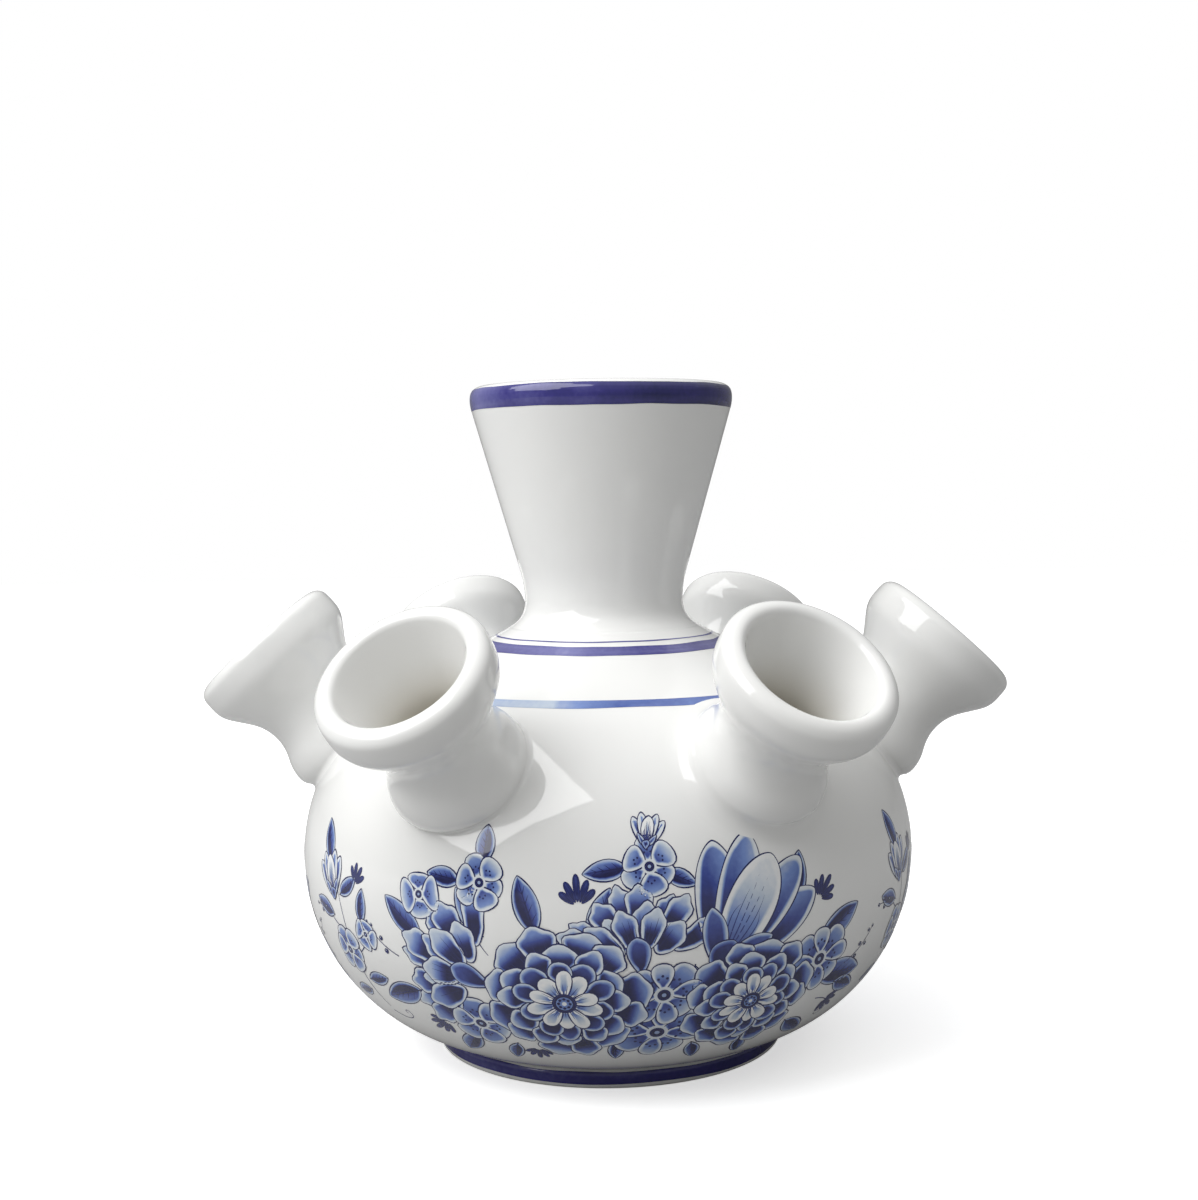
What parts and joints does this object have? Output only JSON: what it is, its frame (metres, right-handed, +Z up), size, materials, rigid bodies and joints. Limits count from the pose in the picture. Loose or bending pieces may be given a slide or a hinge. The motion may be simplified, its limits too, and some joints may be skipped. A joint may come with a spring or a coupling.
{
  "type": "tulip vase",
  "caption": "Round-bellied glazed vase with a flared central neck, a ring of tilted trumpet-mouthed spouts for single stems, and a low foot ring.",
  "frame": {"origin": "centre of the foot ring's resting face, on the vase's axis", "axes": "+Z up along the neck; -Y is the front, half way between two spouts; +X is to the right, along a spout"},
  "size_m": [0.1844, 0.1658, 0.15],
  "materials": {
    "white_glaze": "glossy white tin-type glaze with blue painted lines and flowers under the gloss"
  },
  "bodies": {
    "root": {"foot_ring": "white_glaze", "body": "white_glaze", "neck": "white_glaze", "spout_1": "white_glaze", "spout_2": "white_glaze", "spout_3": "white_glaze", "spout_4": "white_glaze", "spout_5": "white_glaze", "spout_6": "white_glaze"}
  },
  "joints": []
}
